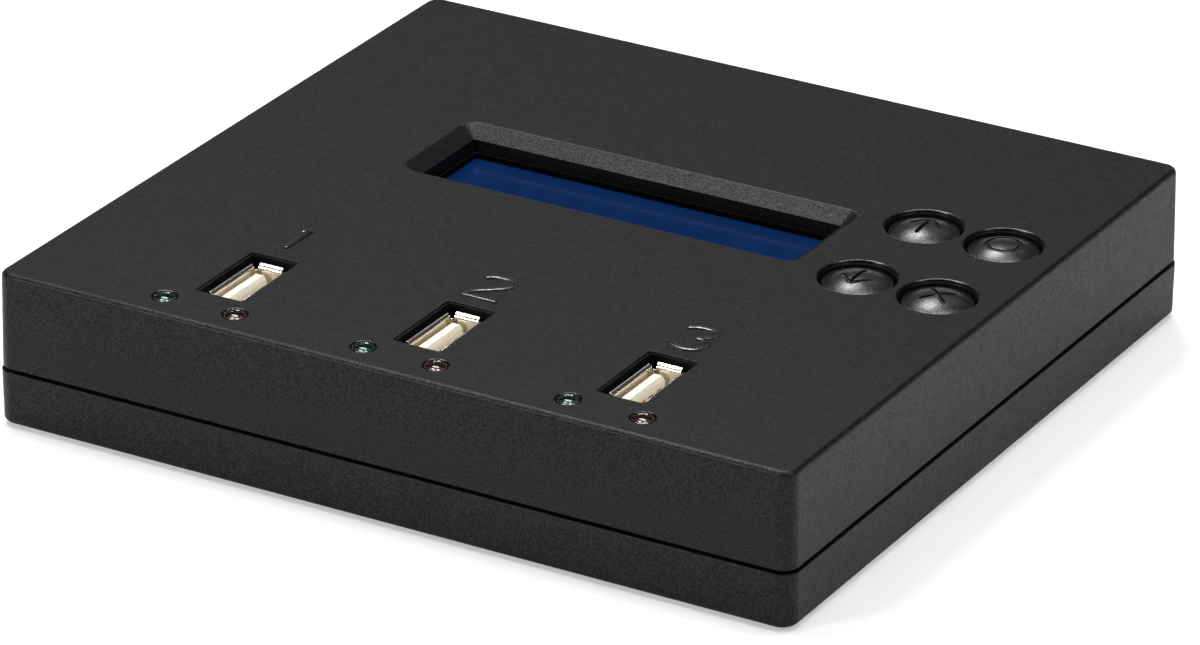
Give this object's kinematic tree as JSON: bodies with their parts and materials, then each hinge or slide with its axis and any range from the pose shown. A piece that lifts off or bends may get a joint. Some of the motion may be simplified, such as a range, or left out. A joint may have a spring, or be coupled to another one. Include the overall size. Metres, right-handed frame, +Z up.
{
  "type": "usb flash drive duplicator",
  "caption": "Flat box-shaped USB flash drive duplicator with upright ports, status lights, a sunk display and domed push buttons.",
  "frame": {"origin": "on the table under the middle of the case, at the height of the feet's lower faces", "axes": "+X to the right along the row of ports, +Y to the back, +Z up"},
  "size_m": [0.14, 0.1304, 0.0263],
  "materials": {
    "case_plastic": "fine spark-eroded texture, matte charcoal black",
    "button_plastic": "satin black",
    "foot_rubber": "matte black rubber",
    "circuit_board": "green solder mask",
    "screw_steel": "zinc-plated",
    "can_aluminium": "drawn can",
    "port_nickel": "nickel-plated sheet, satin",
    "port_plastic": "cream-white moulded insulator",
    "display_black": "black painted steel sheet",
    "display_blue": "dark blue unlit display glass",
    "diffuser": "white light guide",
    "green_lens": "dark green tinted lens",
    "red_lens": "dark red tinted lens",
    "chip_plastic": "black moulded epoxy",
    "ferrite": "sintered grey ferrite"
  },
  "bodies": {
    "housing": {"upper_shell": "case_plastic", "lower_shell": "case_plastic", "case_screw_1": "screw_steel", "case_screw_2": "screw_steel", "case_screw_3": "screw_steel", "case_screw_4": "screw_steel", "foot_1": "foot_rubber", "foot_2": "foot_rubber", "foot_3": "foot_rubber", "foot_4": "foot_rubber", "main_board": "circuit_board", "board_screw_1": "screw_steel", "board_screw_2": "screw_steel", "board_screw_3": "screw_steel", "board_screw_4": "screw_steel", "controller_chip": "chip_plastic", "memory_chip": "chip_plastic", "voltage_regulator": "chip_plastic", "crystal": "screw_steel", "capacitor": "can_aluminium", "inductor": "ferrite", "usb_shell_1": "port_nickel", "usb_insulator_1": "port_plastic", "green_light_1": "green_lens", "red_light_1": "red_lens", "usb_shell_2": "port_nickel", "usb_insulator_2": "port_plastic", "green_light_2": "green_lens", "red_light_2": "red_lens", "usb_shell_3": "port_nickel", "usb_insulator_3": "port_plastic", "green_light_3": "green_lens", "red_light_3": "red_lens", "display_frame": "display_black", "display_glass": "display_blue", "display_backlight": "diffuser", "display_board": "circuit_board", "display_header": "chip_plastic", "display_screw_1": "screw_steel", "display_screw_2": "screw_steel", "display_screw_3": "screw_steel", "display_screw_4": "screw_steel", "up_switch_body": "chip_plastic", "down_switch_body": "chip_plastic", "enter_switch_body": "chip_plastic", "escape_switch_body": "chip_plastic", "power_jack_body": "chip_plastic", "power_jack_pin": "port_nickel"},
    "up_key": {"up_button": "button_plastic", "up_switch_plunger": "chip_plastic"},
    "down_key": {"down_button": "button_plastic", "down_switch_plunger": "chip_plastic"},
    "enter_key": {"enter_button": "button_plastic", "enter_switch_plunger": "chip_plastic"},
    "escape_key": {"escape_button": "button_plastic", "escape_switch_plunger": "chip_plastic"}
  },
  "joints": [
    {"name": "up_press", "type": "slide", "parent": "housing", "child": "up_key", "axis": [0, 0, -1], "range_m": [0, 0.0004], "stiffness_N_per_m": 2500},
    {"name": "down_press", "type": "slide", "parent": "housing", "child": "down_key", "axis": [0, 0, -1], "range_m": [0, 0.0004], "stiffness_N_per_m": 2500},
    {"name": "enter_press", "type": "slide", "parent": "housing", "child": "enter_key", "axis": [0, 0, -1], "range_m": [0, 0.0004], "stiffness_N_per_m": 2500},
    {"name": "escape_press", "type": "slide", "parent": "housing", "child": "escape_key", "axis": [0, 0, -1], "range_m": [0, 0.0004], "stiffness_N_per_m": 2500}
  ]
}
